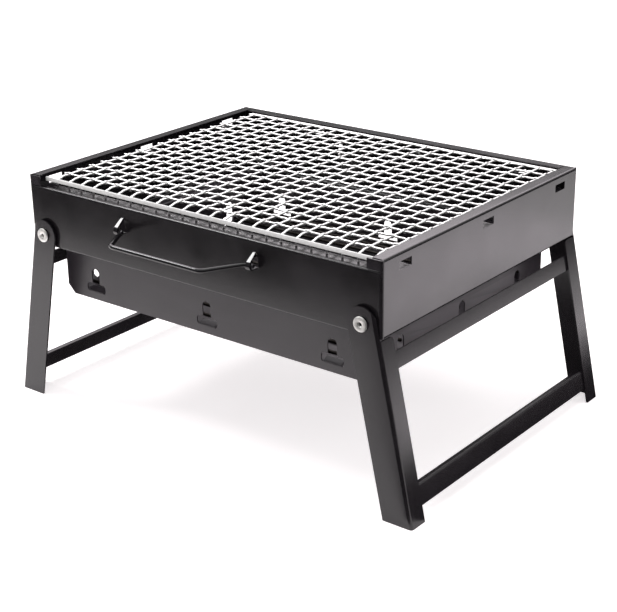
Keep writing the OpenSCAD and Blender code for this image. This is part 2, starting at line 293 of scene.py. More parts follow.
class Finishes:
    """Every finish of the grill, each built once."""

    def __init__(self) -> None:
        """Builds the materials."""
        self.frame = StovedEnamel("glossy_black_enamel").make()
        self.legs = StovedEnamel("black_leg_enamel", base="#131013", pale="#1c181c", roughness=0.225).make()
        self.box = StovedEnamel(
            "satin_charcoal_enamel",
            base="#252125",
            pale="#2c282c",
            edge="#454046",
            roughness=0.33,
            ripple_mm=1.6,
        ).make()
        self.handle = StovedEnamel(
            "dipped_black_enamel",
            base="#100f11",
            pale="#181619",
            roughness=0.13,
            ripple_mm=4.0,
            smear_mm=15.0,
        ).make()
        self.grate = PlatedSteel("bright_plated_wire", base="#fbfbfa", dull="#efeeec", roughness=0.34).make()
        self.strip = PlatedSteel(
            "milky_plated_strip", base="#fbfbfa", dull="#f1f0ee", roughness=0.6, metal=0.1
        ).make()
        # the charcoal grid's dark tone is partly oxide on the steel and partly painted shade for the dim
        # inside of the box
        self.grid = PlatedSteel(
            "oxide_and_painted_shade_wire", base="#3a3735", dull="#262321", roughness=0.5, spot_mm=9.0
        ).make()
        self.rivet = PlatedSteel("rolled_rivet_steel", base="#f6f5f2", dull="#dedcd7", roughness=0.42).make()
        self.washer = PlatedSteel(
            "pressed_washer_steel", base="#b3b1ad", dull="#8d8b88", roughness=0.34
        ).make()


# ---------------------------------------------------------------- mesh tools


def fillet(path: Sequence[Point2], radius: float, steps: int = 5) -> list[Point2]:
    """Rounds the corners of an open line.

    Args:
        path: Corner points.
        radius: Radius of each corner.
        steps: Points on each corner's arc, less one.

    Returns:
        Points of the rounded line.
    """
    out: list[Point2] = [path[0]]
    for before, corner, after in zip(path, path[1:], path[2:]):
        p, a, b = Vector(corner), Vector(before) - Vector(corner), Vector(after) - Vector(corner)
        half = a.angle(b) / 2
        reach = radius / math.tan(half)
        limit = min(a.length, b.length) * 0.95
        used = min(reach, limit)
        r = used * math.tan(half)
        middle = p + (a.normalized() + b.normalized()).normalized() * (r / math.sin(half))
        start, stop = p + a.normalized() * used - middle, p + b.normalized() * used - middle
        turn = start.angle_signed(stop)
        for i in range(steps + 1):
            spin = Matrix.Rotation(-turn * i / steps, 2)
            q = middle + spin @ start
            out.append((q.x, q.y))
    out.append(path[-1])
    return out


def folded_outline(path: Sequence[Point2], thickness: float, radius: float) -> list[Point2]:
    """Closed outline of a bent sheet seen from its end.

    Args:
        path: Corner points of the sheet's middle line.
        thickness: Thickness of the sheet.
        radius: Bend radius at the middle line.

    Returns:
        Points round the section.
    """
    line = [Vector(p) for p in fillet(path, radius)]
    left: list[Point2] = []
    right: list[Point2] = []
    for i, p in enumerate(line):
        a = line[max(i - 1, 0)]
        b = line[min(i + 1, len(line) - 1)]
        along = (b - a).normalized()
        normal = Vector((-along.y, along.x)) * thickness / 2
        left.append((p.x + normal.x, p.y + normal.y))
        right.append((p.x - normal.x, p.y - normal.y))
    return left + right[::-1]


def draw_out(bm: bmesh.types.BMesh, outline: Sequence[Point2], axis: Axis, low: float, high: float) -> None:
    """Adds a solid made by drawing an outline out along an axis.

    Args:
        bm: Mesh that takes the solid.
        outline: Points of the closed outline, in the plane that the axis names.
        axis: Direction of the draw.
        low: Start along the axis.
        high: End along the axis.
    """
    place: dict[Axis, Callable[[float, float, float], Point3]] = {
        Axis.X: lambda u, v, w: (w, u, v),
        Axis.Y: lambda u, v, w: (u, w, v),
        Axis.Z: lambda u, v, w: (u, v, w),
    }
    rings = [[bm.verts.new(place[axis](u, v, w)) for u, v in outline] for w in (low, high)]
    count = len(outline)
    faces = [bm.faces.new(rings[0][::-1]), bm.faces.new(rings[1])]
    for i in range(count):
        j = (i + 1) % count
        faces.append(bm.faces.new((rings[0][i], rings[0][j], rings[1][j], rings[1][i])))
    bmesh.ops.recalc_face_normals(bm, faces=faces)


def add_block(bm: bmesh.types.BMesh, low: Point3, high: Point3) -> None:
    """Adds a block between two corners, with its low corner first."""
    corners = [(low[0], low[1]), (high[0], low[1]), (high[0], high[1]), (low[0], high[1])]
    draw_out(bm, corners, Axis.Z, low[2], high[2])


def add_tube(
    bm: bmesh.types.BMesh, path: Sequence[Point3], radius: float, sides: int = 10, dome: bool = True
) -> None:
    """Adds a round wire along a line.

    Args:
        bm: Mesh that takes the wire.
        path: Points of the wire's centre line.
        radius: Radius of the wire.
        sides: Faces round the wire.
        dome: Whether the ends are chamfered.
    """
    points = [Vector(p) for p in path]
    if dome:
        first, last = (points[1] - points[0]).normalized(), (points[-1] - points[-2]).normalized()
        inset = radius * 0.4
        points = [points[0], points[0] + first * inset, *points[1:-1], points[-1] - last * inset, points[-1]]
    ring_radius = [radius] * len(points)
    if dome:
        ring_radius[0] = ring_radius[-1] = radius * 0.62
    along = (points[1] - points[0]).normalized()
    up = Vector((0, 0, 1)) if abs(along.z) < 0.9 else Vector((1, 0, 0))
    across = along.cross(up).normalized()
    rings: list[list[bmesh.types.BMVert]] = []
    for i, p in enumerate(points):
        here = (points[min(i + 1, len(points) - 1)] - points[max(i - 1, 0)]).normalized()
        across = (across - here * across.dot(here)).normalized()
        over = here.cross(across)
        ring = []
        for k in range(sides):
            a = 2 * math.pi * (k + 0.5) / sides
            ring.append(bm.verts.new(p + (across * math.cos(a) + over * math.sin(a)) * ring_radius[i]))
        rings.append(ring)
    faces = [bm.faces.new(rings[0][::-1]), bm.faces.new(rings[-1])]
    for a, b in zip(rings, rings[1:]):
        for k in range(sides):
            m = (k + 1) % sides
            faces.append(bm.faces.new((a[k], a[m], b[m], b[k])))
    bmesh.ops.recalc_face_normals(bm, faces=faces)


def add_turned(
    bm: bmesh.types.BMesh, profile: Sequence[Point2], centre: Point3, outward: float, sides: int = 40
) -> None:
    """Adds a turned solid whose axis lies along Y.

    Args:
        bm: Mesh that takes the solid.
        profile: Closed profile as radius and distance along the axis.
        centre: Point on the axis where the distance is 0.
        outward: +1 or -1, the way along Y in which the distance grows.
        sides: Faces round the axis.
    """
    rings = []
    for k in range(sides):
        a = 2 * math.pi * k / sides
        rings.append(
            [
                bm.verts.new(
                    (centre[0] + r * math.cos(a), centre[1] + outward * d, centre[2] + r * math.sin(a))
                )
                for r, d in profile
            ]
        )
    faces = []
    for k in range(sides):
        a, b = rings[k], rings[(k + 1) % sides]
        for i in range(len(profile)):
            j = (i + 1) % len(profile)
            faces.append(bm.faces.new((a[i], a[j], b[j], b[i])))
    bmesh.ops.recalc_face_normals(bm, faces=faces)


def to_object(name: str, bm: bmesh.types.BMesh) -> bpy.types.Object:
    """Turns a mesh in millimetres into an object in metres, placed in the row frame.

    Args:
        name: Name of the object.
        bm: The mesh, which is used up.

    Returns:
        The object, linked to the scene.
    """
    bmesh.ops.scale(bm, vec=(MM, MM, MM), verts=bm.verts)
    mesh = bpy.data.meshes.new(name)
    bm.to_mesh(mesh)
    bm.free()
    obj = bpy.data.objects.new(name, mesh)
    bpy.context.scene.collection.objects.link(obj)
    return obj


def carve(obj: bpy.types.Object, tool: bmesh.types.BMesh, operation: str = "DIFFERENCE") -> None:
    """Cuts an object with a tool mesh, or joins it, for good.

    Args:
        obj: Object that changes.
        tool: Tool mesh in millimetres, which is used up.
        operation: DIFFERENCE, UNION or INTERSECT.
    """
    other = to_object(obj.name + "_tool", tool)
    modifier = obj.modifiers.new("carve", "BOOLEAN")
    modifier.object = other
    modifier.operation = operation
    modifier.solver = "EXACT"
    modifier.use_self = True
    shape = obj.evaluated_get(bpy.context.evaluated_depsgraph_get())
    mesh = bpy.data.meshes.new_from_object(shape)
    obj.modifiers.clear()
    old = obj.data
    obj.data = mesh
    bpy.data.meshes.remove(old)
    bpy.data.objects.remove(other)


def move_mesh(obj: bpy.types.Object, place: Callable[[Vector], Vector]) -> None:
    """Moves every vertex of an object, in millimetres, by a function.

    Args:
        obj: Object that changes.
        place: Gives the new place of a point.
    """
    for vertex in obj.data.vertices:
        vertex.co = place(vertex.co / MM) * MM
    obj.data.update()


def mirrored(obj: bpy.types.Object, name: str, x: bool, y: bool) -> bpy.types.Object:
    """Copies an object mirrored across the grill's middle planes.

    Args:
        obj: Object to copy.
        name: Name of the copy.
        x: Whether X changes sign.
        y: Whether Y changes sign.

    Returns:
        The copy.
    """
    mesh = obj.data.copy()
    mesh.transform(Matrix.Diagonal((-1 if x else 1, -1 if y else 1, 1, 1)))
    if x != y:
        mesh.flip_normals()
    other = bpy.data.objects.new(name, mesh)
    bpy.context.scene.collection.objects.link(other)
    return other


def dress(
    obj: bpy.types.Object,
    material: bpy.types.Material,
    body: str,
    nodes: Iterable[str],
    edge_mm: float = 0.0,
) -> None:
    """Finishes a piece: soft edges, smooth shading, material, body and the nodes it stands for.

    Args:
        obj: The piece.
        material: Its finish.
        body: Body that it rides on.
        nodes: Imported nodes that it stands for.
        edge_mm: Width of the rounding along its edges.
    """
    for polygon in obj.data.polygons:
        polygon.use_smooth = True
    if edge_mm:
        rounding = obj.modifiers.new("edge", "BEVEL")
        rounding.width = edge_mm * MM
        rounding.segments = 2
        rounding.limit_method = "ANGLE"
        rounding.angle_limit = math.radians(38)
        flat = obj.modifiers.new("flat_faces", "WEIGHTED_NORMAL")
        flat.mode = "FACE_AREA"
        flat.weight = 100
    else:
        sharp_edges(obj.data, 48)
    obj.data.materials.clear()
    obj.data.materials.append(material)
    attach(obj, body)
    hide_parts(*nodes)
    LOG.info("%s: %d faces on %s", obj.name, len(obj.data.polygons), body)


def sharp_edges(mesh: bpy.types.Mesh, degrees: float) -> None:
    """Marks the edges of a smooth mesh that stay crisp, those that turn more than an angle."""
    mesh.set_sharp_from_angle(angle=math.radians(degrees))


def finish_node(node: str, material: bpy.types.Material, edge_mm: float) -> None:
    """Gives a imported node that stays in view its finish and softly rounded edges."""
    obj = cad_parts[node]
    obj.data.materials.clear()
    obj.data.materials.append(material)
    rounding = obj.modifiers.new("edge", "BEVEL")
    rounding.width = edge_mm * MM
    rounding.segments = 2
    rounding.limit_method = "ANGLE"
    rounding.angle_limit = math.radians(38)
    LOG.info("%s stays, %s", node, material.name)


def box_mm(node: str) -> tuple[Vector, Vector]:
    """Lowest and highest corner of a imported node, in millimetres."""
    low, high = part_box(node)
    return low / MM, high / MM


# ---------------------------------------------------------------- frame


@dataclass
class FrameShell:
    """The four walls of the frame, their vents and flanges, the rivets with their washers
    and the handle lugs."""

    finishes: Finishes
    sheet: float = 1.0
    bend: float = 2.2
    fold: float = 1.5
    lip_side: float = 14.0
    lip_end: float = 9.0
    top_flange: float = 10.0
    front_flange: float = 12.0
    return_w: float = 13.0
    vent_l: float = 15.0
    vent_h: float = 6.2
    vent_drop: float = 9.6
    vent_pitch: float = 107.5
    vent_tab: float = 8.0
    hx: float = field(init=False)
    hy: float = field(init=False)
    bottom: float = field(init=False)
    top: float = field(init=False)
    front_top: float = field(init=False)

    def __post_init__(self) -> None:
        """Reads the frame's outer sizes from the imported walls."""
        low, high = box_mm("frame_right_wall")
        self.hx, self.hy, self.bottom, self.top = high.x, high.y, low.z, high.z
        self.front_top = box_mm("frame_front_wall")[1].z

    def build(self) -> None:
        """Builds every piece that rides on the frame."""
        self.side_walls()
        self.front_wall()
        self.back_wall()
        self.rivets()
        self.lugs()

    def side_walls(self) -> None:
        """Builds the right wall with corners, flanges and vents, and mirrors it."""
        t, hx, hy = self.sheet, self.hx, self.hy
        bm = bmesh.new()
        middle = hx - t / 2
        path = [
            (hx - self.lip_side, self.bottom + t / 2),
            (middle, self.bottom + t / 2),
            (middle, self.top - t / 2),
            (hx - self.top_flange, self.top - t / 2),
        ]
        draw_out(bm, folded_outline(path, t, self.fold), Axis.Y, -hy + self.bend, hy - self.bend)
        obj = to_object("right_wall_sheet", bm)
        # corner bends, and the full-height return beside the lowered front wall
        corner = bmesh.new()
        for s in (-1, 1):
            centre = (hx - self.bend, s * (hy - self.bend))
            arc = [(a * math.pi / 12) for a in range(7)]
            outer = [
                (centre[0] + self.bend * math.cos(a), centre[1] + s * self.bend * math.sin(a)) for a in arc
            ]
            inner = [
                (centre[0] + (self.bend - t) * math.cos(a), centre[1] + s * (self.bend - t) * math.sin(a))
                for a in arc
            ]
            draw_out(corner, outer + inner[::-1], Axis.Z, self.bottom + 0.3, self.top - 0.35)
        carve(obj, corner, "UNION")
        back = bmesh.new()
        low = (hx - self.return_w, -hy, self.front_top + 0.4)
        add_block(back, low, (hx - self.bend, -hy + t, self.top - 0.35))
        carve(obj, back, "UNION")
        tool = bmesh.new()
        level = self.top - self.vent_drop
        for i in (-1, 0, 1):
            y = i * self.vent_pitch
            add_block(
                tool,
                (hx - 3, y - self.vent_l / 2, level - self.vent_h / 2),
                (hx + 2, y + self.vent_l / 2, level + self.vent_h / 2),
            )
        low = (hx - self.bend, -hy - 1, self.front_top - 5.5)
        add_block(tool, low, (hx - self.bend + 1.6, -hy + 1.2, self.front_top - 3.9))
        carve(obj, tool)
        tabs = bmesh.new()
        for i in (-1, 0, 1):
            y = i * self.vent_pitch
            start = level - self.vent_h / 2 - t / 2
            line = [(hx - t / 2, start - 1.5), (hx - t / 2, start), (hx - t - self.vent_tab, start + 0.5)]
            shape = folded_outline(line, t * 0.9, 0.9)
            draw_out(tabs, shape, Axis.Y, y - self.vent_l / 2 + 1, y + self.vent_l / 2 - 1)
        carve(obj, tabs, "UNION")
        other = mirrored(obj, "left_wall_sheet", True, False)
        dress(obj, self.finishes.frame, "frame", ["frame_right_wall"], 0.22)
        dress(other, self.finishes.frame, "frame", ["frame_left_wall"], 0.22)

    def front_wall(self) -> None:
        """Builds the lowered front wall with its wide flange and the windows of the lugs."""
        t, hy, w = self.sheet, self.hy, self.hx - self.bend
        path = [
            (-hy + self.lip_end, self.bottom + t / 2),
            (-hy + t / 2, self.bottom + t / 2),
            (-hy + t / 2, self.front_top - t / 2),
            (-hy + self.front_flange, self.front_top - t / 2),
        ]
        bm = bmesh.new()
        draw_out(bm, folded_outline(path, t, 1.2), Axis.X, -w, w)
        obj = to_object("front_wall_sheet", bm)
        tool = bmesh.new()
        for s in (-1, 1):
            low, high = sorted((s * (self.hx - self.lip_side - 2), s * (w + 1)))
            far = (high, -hy + self.lip_end + 1, self.bottom + 3)
            add_block(tool, (low, -hy + 2.2, self.bottom - 1), far)
        self.lug_windows(tool, "front_handle_lugs", -hy)
        carve(obj, tool)
        dress(obj, self.finishes.frame, "frame", ["frame_front_wall"], 0.22)

    def back_wall(self) -> None:
        """Builds the back wall with its top flange and the lanced rests of the grate."""
        t, hy, w = self.sheet, self.hy, self.hx - self.bend
        path = [
            (hy - self.lip_end, self.bottom + t / 2),
            (hy - t / 2, self.bottom + t / 2),
            (hy - t / 2, self.top - t / 2),
            (hy - self.top_flange, self.top - t / 2),
        ]
        bm = bmesh.new()
        draw_out(bm, folded_outline(path, t, self.fold), Axis.X, -w, w)
        obj = to_object("back_wall_sheet", bm)
        tool = bmesh.new()
        for s in (-1, 1):
            low, high = sorted((s * (self.hx - self.lip_side - 2), s * (w + 1)))
            add_block(tool, (low, hy - self.lip_end - 1, self.bottom - 1), (high, hy - 2.2, self.bottom + 3))
            low, high = sorted((s * (self.hx - self.top_flange - 1), s * (w + 1)))
            add_block(tool, (low, hy - self.top_flange - 1, self.top - 3), (high, hy - 2.4, self.top + 1))
        rest_low, rest_high = self.rest_levels()
        for i in (-1, 0, 1):
            start, stop = i * 105 + 10.4, i * 105 + 23.6
            add_block(tool, (start, hy - 3, rest_low - 4.6), (stop, hy + 1, rest_low - 0.1))
        self.lug_windows(tool, "back_handle_lugs", hy)
        carve(obj, tool)
        rests = bmesh.new()
        for i in (-1, 0, 1):
            middle = (rest_low + rest_high) / 2
            line = [(hy - t / 2, rest_low - 0.5), (hy - t / 2, middle), (hy - 13.4, middle)]
            tongue = folded_outline(line, rest_high - rest_low, 0.8)
            draw_out(rests, tongue, Axis.X, i * 105 + 10.4, i * 105 + 23.6)
        carve(obj, rests, "UNION")
        dress(obj, self.finishes.frame, "frame", ["frame_back_wall"], 0.22)

    def rest_levels(self) -> tuple[float, float]:
        """Bottom and top of the rests that carry the grate's back edge."""
        under = box_mm("grate_cross_wires")[0].z
        return under - 1.15, under - 0.35

    def lug_windows(self, tool: bmesh.types.BMesh, node: str, wall_y: float) -> None:
        """Adds the openings left in a wall where the lugs were pressed out.

        Args:
            tool: Tool mesh that takes them.
            node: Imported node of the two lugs.
            wall_y: Y of the wall's outer face.
        """
        low, high = box_mm(node)
        for x in (low.x + 2.4, high.x - 2.4):
            foot, head = low.z + 0.8, high.z - 1.2
            outline = [(x - 3.4, foot), (x + 3.4, foot), (x + 2.2, head), (x - 2.2, head)]
            draw_out(tool, outline, Axis.Y, wall_y - 1.5, wall_y + 1.5)

    def rivets(self) -> None:
        """Builds the tubular rivets with rolled heads and the washers behind the legs."""
        low, high = box_mm("leg_pivot_rivets")
        washer_low, washer_high = box_mm("leg_washers")
        radius = (washer_high.z - washer_low.z) / 2
        level = (low.z + high.z) / 2
        x = washer_high.x - radius
        head = 1.6
        ends = high.y - self.hy - head
        t = self.sheet
        profile = [(1.4, -t - 0.9), (4.2, -t - 0.9), (4.3, -t - 0.4), (4.2, -t)]
        profile += [(3.0, -t), (3.0, ends), (5.2, ends)]
        roll = [i * math.pi / 8 - math.pi / 4 for i in range(7)]
        profile += [(5.0 + 0.8 * math.cos(a), ends + 0.8 + 0.8 * math.sin(a)) for a in roll]
        profile += [(2.3, ends + head), (1.8, ends + 1.4), (1.5, ends + 0.8), (1.4, ends - 0.2)]
        bm, rings = bmesh.new(), bmesh.new()
        thick = washer_high.y - self.hy
        for sx in (-1, 1):
            for sy in (-1, 1):
                add_turned(bm, profile, (sx * x, sy * self.hy, level), sy, 48)
                ring = [(3.0, 0.0), (radius, 0.0), (radius, thick - 0.3), (radius - 0.3, thick), (3.0, thick)]
                add_turned(rings, ring, (sx * x, sy * self.hy, level), sy, 48)
        heads = to_object("rolled_rivets", bm)
        dress(heads, self.finishes.rivet, "frame", ["leg_pivot_rivets"])
        washers = to_object("rivet_washers", rings)
        dress(washers, self.finishes.washer, "frame", ["leg_washers"])

    def lugs(self) -> None:
        """Builds the pressed lugs that hold the handles: tapered bridges, open at both sides."""
        for node, name, end in (
            ("front_handle_lugs", "front_lugs", End.FRONT),
            ("back_handle_lugs", "back_lugs", End.BACK),
        ):
            low, high = box_mm(node)
            wall = end.value * self.hy
            reach = high.y - wall if end is End.BACK else wall - low.y
            bm = bmesh.new()
            for x in (low.x + 2.4, high.x - 2.4):
                self.bridge(bm, x, wall, end.value, low.z, high.z, reach)
            obj = to_object(name, bm)
            dress(obj, self.finishes.handle, "frame", [node], 0.2)

    def bridge(
        self, bm: bmesh.types.BMesh, x: float, wall: float, out: int, low: float, high: float, reach: float
    ) -> None:
        """Adds one lug: a strip that leaves the wall at its top, swells round the handle's
        pin and comes back to the wall below it, narrow above and wide below.

        Args:
            bm: Mesh that takes the lug.
            x: Middle of the lug.
            wall: Y of the wall's outer face.
            out: +1 or -1, the way out of the wall.
            low: Lowest point.
            high: Highest point.
            reach: How far it stands out of the wall.
        """
        t = 1.1
        line = [(-0.6, high - 0.6), (0.5, high - 1.4), (reach - 1.5, low + 6.2), (reach - t / 2, low + 3.6)]
        line += [(reach - 1.3, low + 1.2), (reach - 4.0, low + 0.55), (-0.6, low + 0.55)]
        smooth = [Vector(p) for p in fillet(line, 1.6, 4)]
        rings = []
        for i, p in enumerate(smooth):
            along = (smooth[min(i + 1, len(smooth) - 1)] - smooth[max(i - 1, 0)]).normalized()
            normal = Vector((along.y, -along.x)) * t / 2
            share = min(max((high - p.y) / (high - low), 0.0), 1.0)
            half = 1.25 + 1.15 * share
            ring = []
            for side, q in ((-1, p - normal), (1, p - normal), (1, p + normal), (-1, p + normal)):
                ring.append(bm.verts.new((x + side * half, wall + out * q.x, q.y)))
            rings.append(ring)
        faces = [bm.faces.new(rings[0][::-1]), bm.faces.new(rings[-1])]
        for a, b in zip(rings, rings[1:]):
            for k in range(4):
                m = (k + 1) % 4
                faces.append(bm.faces.new((a[k], a[m], b[m], b[k])))
        bmesh.ops.recalc_face_normals(bm, faces=faces)


# ---------------------------------------------------------------- legs


@dataclass
class LegPair:
    """Two legs with their crossbars, on one side of the grill. Shapes are drawn on a leg
    that hangs down (N outward, S down the leg from its rivet) and then turned into place."""

    finishes: Finishes
    side: Side
    web: float = 25.0
    flange: float = 16.8
    sheet: float = 1.5
    flange_start: float = 13.6
    lean: float = 12.0
    bar_starts: tuple[float, float] = (25.5, 125.0)
    bar_heights: tuple[float, float] = (13.0, 17.0)
    bar_t: float = 1.2
    pivot: Vector = field(init=False)
    outer: float = field(init=False)

    def __post_init__(self) -> None:
        """Reads the rivet's place and the legs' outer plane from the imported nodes."""
        low, high = box_mm("leg_pivot_rivets")
        washer_low, washer_high = box_mm("leg_washers")
        radius = (washer_high.z - washer_low.z) / 2
        self.pivot = Vector((washer_high.x - radius, 0.0, (low.z + high.z) / 2))
        self.outer = box_mm("right_back_leg")[1].y

    def build(self) -> None:
        """Builds both legs and both crossbars."""
        word = self.side.name.lower()
        body = f"{word}_legs"
        left = self.side is Side.LEFT
        front = self.leg(f"{word}_front_leg_sheet")
        if left:
            move_mesh(front, lambda p: Vector((-p.x, p.y, p.z)))
            front.data.flip_normals()
        back = mirrored(front, f"{word}_back_leg_sheet", False, True)
        dress(front, self.finishes.legs, body, [f"{word}_front_leg"], 0.3)
        dress(back, self.finishes.legs, body, [f"{word}_back_leg"], 0.3)
        for place, start, height in zip(("upper", "lower"), self.bar_starts, self.bar_heights):
            bar = self.crossbar(f"{word}_{place}_bar_strip", start, height, place == "lower")
            if left:
                move_mesh(bar, lambda p: Vector((-p.x, p.y, p.z)))
                bar.data.flip_normals()
            dress(bar, self.finishes.legs, body, [f"{word}_{place}_crossbar"], 0.42)

    def turned(self, p: Vector) -> Vector:
        """Point of the open right leg for a point (N, Y, S) of the hanging one."""
        c, s = math.cos(math.radians(self.lean)), math.sin(math.radians(self.lean))
        return Vector((self.pivot.x + p.x * c + p.z * s, p.y, self.pivot.z + p.x * s - p.z * c))

    def leg(self, name: str) -> bpy.types.Object:
        """Builds the right front leg: round top, flange with a rounded start, level foot.

        Args:
            name: Name of the object.

        Returns:
            The leg, in place.
        """
        t, half = self.sheet, self.web / 2
        length = self.pivot.z / math.cos(math.radians(self.lean)) + 10
        plane = -self.outer + t / 2
        path = [(-half, plane), (half - t / 2, plane), (half - t / 2, -self.outer + self.flange)]
        bm = bmesh.new()
        draw_out(bm, folded_outline(path, t, 1.9), Axis.Z, -half, length)
        obj = to_object(name, bm)
        mask = bmesh.new()
        arc = [(half * math.cos(a), half * math.sin(a)) for a in [math.pi * (1 + i / 24) for i in range(25)]]
        outline = [(half + 1, length + 2), (-half - 0.01, length + 2)]
        outline += [(u * 1.0004, v * 1.0004) for u, v in arc]
        outline.append((half + 1, 0.0))
        draw_out(mask, outline, Axis.Y, -self.outer - 3, -self.outer + self.flange + 3)
        carve(obj, mask, "INTERSECT")
        tool = bmesh.new()
        edge, start = -self.outer + self.flange, self.flange_start
        r = 3.0
        turns = [i * math.pi / 16 for i in range(9)]
        curve = [(edge - r + r * math.sin(a), start + r - r * math.cos(a)) for a in turns]
        inner, above = -self.outer + t + 0.25, -half - 3
        shape = [(inner, start), *curve, (edge + 2, start + r), (edge + 2, above), (inner, above)]
        draw_out(tool, shape, Axis.X, half - 4, half + 2)
        carve(obj, tool)
        move_mesh(obj, self.turned)
        obj.data.flip_normals()
        floor = bmesh.new()
        add_block(floor, (0, -400, -60), (400, 400, 0.0))
        carve(obj, floor)
        return obj

    def crossbar(self, name: str, start: float, height: float, lipped: bool) -> bpy.types.Object:
        """Builds a right crossbar: a strip with rounded long edges and, on the lower one,
        a lip folded inward along its upper edge.

        Args:
            name: Name of the object.
            start: Upper edge, along the leg.
            height: Its height, along the leg.
            lipped: Whether the upper edge is folded.

        Returns:
            The bar, in place.
        """
        face = self.web / 2 - self.sheet - self.bar_t / 2
        reach = box_mm("right_upper_crossbar")[1].y
        line = [(face, start), (face, start + height)]
        if lipped:
            fold = start + self.bar_t / 2
            line = [(face - 3.9, fold), (face, fold), (face, start + height)]
        bm = bmesh.new()
        draw_out(bm, folded_outline(line, self.bar_t, 1.3), Axis.Y, -reach, reach)
        obj = to_object(name, bm)
        if lipped:
            tool = bmesh.new()
            for s in (-1, 1):
                low, high = sorted((s * (reach - 5), s * (reach + 1)))
                add_block(tool, (face - 5, low, start - 1), (face - self.bar_t / 2 - 0.4, high, start + 3))
            carve(obj, tool)
        move_mesh(obj, self.turned)
        obj.data.flip_normals()
        return obj


# ---------------------------------------------------------------- charcoal box


@dataclass
class CharcoalBox:
    """The box that holds the charcoal: two end panels with keyhole vents, two bent side
    panels that hang on the frame, and the pan."""

    finishes: Finishes
    sheet: float = 1.0
    bevel: float = 7.0
    lip: float = 9.0
    pitch_end: float = 121.0
    pitch_side: float = 82.0
    slot_l: float = 20.8
    slot_h: float = 7.6
    tongue_w: float = 8.4
    tongue_h: float = 13.0
    body: str = "charcoal_box"
    low: Vector = field(init=False)
    high: Vector = field(init=False)

    def __post_init__(self) -> None:
        """Reads the box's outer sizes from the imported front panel."""
        self.low, self.high = box_mm("box_front_panel")

    def build(self) -> None:
        """Builds the panels, and finishes the pan and the rests."""
        self.end_panels()
        self.side_panels()
        finish_node("box_bottom", self.finishes.box, 0.3)
        finish_node("box_grid_rests", self.finishes.box, 0.2)

    def keyhole(self, u: float, v: float) -> list[Point2]:
        """Outline of a vent: a level slot with round ends and an upright tongue over it.

        Args:
            u: Middle of the vent.
            v: Lower edge of the vent.

        Returns:
            Points of the closed outline.
        """
        r, half, w = 2.8, self.slot_l / 2, self.tongue_w / 2
        points: list[Point2] = []

        def corner(cu: float, cv: float, radius: float, start: float, sweep: float, steps: int) -> None:
            """Adds an arc to the outline."""
            for i in range(steps + 1):
                a = math.radians(start + sweep * i / steps)
                points.append((u + cu + radius * math.cos(a), v + cv + radius * math.sin(a)))

        corner(-half + r, r, r, 180, 90, 4)
        corner(half - r, r, r, -90, 90, 4)
        corner(half - r, self.slot_h - r, r, 0, 90, 4)
        corner(w + 0.8, self.slot_h + 0.8, 0.8, 270, -90, 3)
        corner(0, self.slot_h + self.tongue_h - w, w, 0, 180, 12)
        corner(-w - 0.8, self.slot_h + 0.8, 0.8, 0, -90, 3)
        corner(-half + r, self.slot_h - r, r, 90, 90, 4)
        return points

    def end_panels(self) -> None:
        """Builds the front panel and mirrors it to the back."""
        x, y, z0, z1 = self.high.x, -self.low.y, self.low.z, self.high.z
        cut = self.bevel
        outline = [(-x, z0 + cut), (-x + cut, z0), (x - cut, z0), (x, z0 + cut), (x, z1), (-x, z1)]
        bm = bmesh.new()
        draw_out(bm, outline, Axis.Y, -y, -y + self.sheet)
        obj = to_object("box_front_sheet", bm)
        tool = bmesh.new()
        for i in (-1, 0, 1):
            draw_out(tool, self.keyhole(i * self.pitch_end, z0 + 6.2), Axis.Y, -y - 2, -y + 3)
        carve(obj, tool)
        flaps = bmesh.new()
        for i in (-1, 0, 1):
            line = [(-y + 0.5, z0 + 5.0), (-y + 0.5, z0 + 7.2), (-y + 4.6, z0 + 9.6)]
            middle = i * self.pitch_end
            draw_out(flaps, folded_outline(line, 0.8, 0.9), Axis.X, middle - 8.2, middle + 8.2)
        carve(obj, flaps, "UNION")
        other = mirrored(obj, "box_back_sheet", False, True)
        dress(obj, self.finishes.box, self.body, ["box_front_panel"], 0.22)
        dress(other, self.finishes.box, self.body, ["box_back_panel"], 0.22)

    def side_panels(self) -> None:
        """Builds the right side panel with its hanging lip and mirrors it."""
        t, x, z0, z1 = self.sheet, self.high.x, self.low.z, self.high.z
        half = -self.low.y - t
        path = [
            (x - self.bevel - 0.4, z0 + t / 2),
            (x - self.bevel + 0.1, z0 + t / 2 + 0.05),
            (x - t / 2, z0 + self.bevel + 0.2),
            (x - t / 2, z1 - t / 2),
            (x + self.lip, z1 - t / 2),
        ]
        bm = bmesh.new()
        draw_out(bm, folded_outline(path, t, 1.2), Axis.Y, -half, half)
        obj = to_object("box_right_sheet", bm)
        tool = bmesh.new()
        for i in (-1, 0, 1):
            draw_out(tool, self.keyhole(i * self.pitch_side, z0 + 4.2), Axis.X, x - self.bevel - 2, x + 2)
        for s in (-1, 1):
            low, high = sorted((s * (half - 5), s * (half + 2)))
            add_block(tool, (x + 0.6, low, z1 - 3), (x + self.lip + 2, high, z1 + 2))
        carve(obj, tool)
        flaps = bmesh.new()
        for i in (-1, 0, 1):
            line = [(x - 4.6, z0 + 2.6), (x - 3.2, z0 + 4.2), (x - 8.4, z0 + 9.4)]
            y = i * self.pitch_side
            draw_out(flaps, folded_outline(line, 0.8, 0.6), Axis.Y, y - 8.2, y + 8.2)
        carve(obj, flaps, "UNION")
        other = mirrored(obj, "box_left_sheet", True, False)
        dress(obj, self.finishes.box, self.body, ["box_right_panel"], 0.22)
        dress(other, self.finishes.box, self.body, ["box_left_panel"], 0.22)


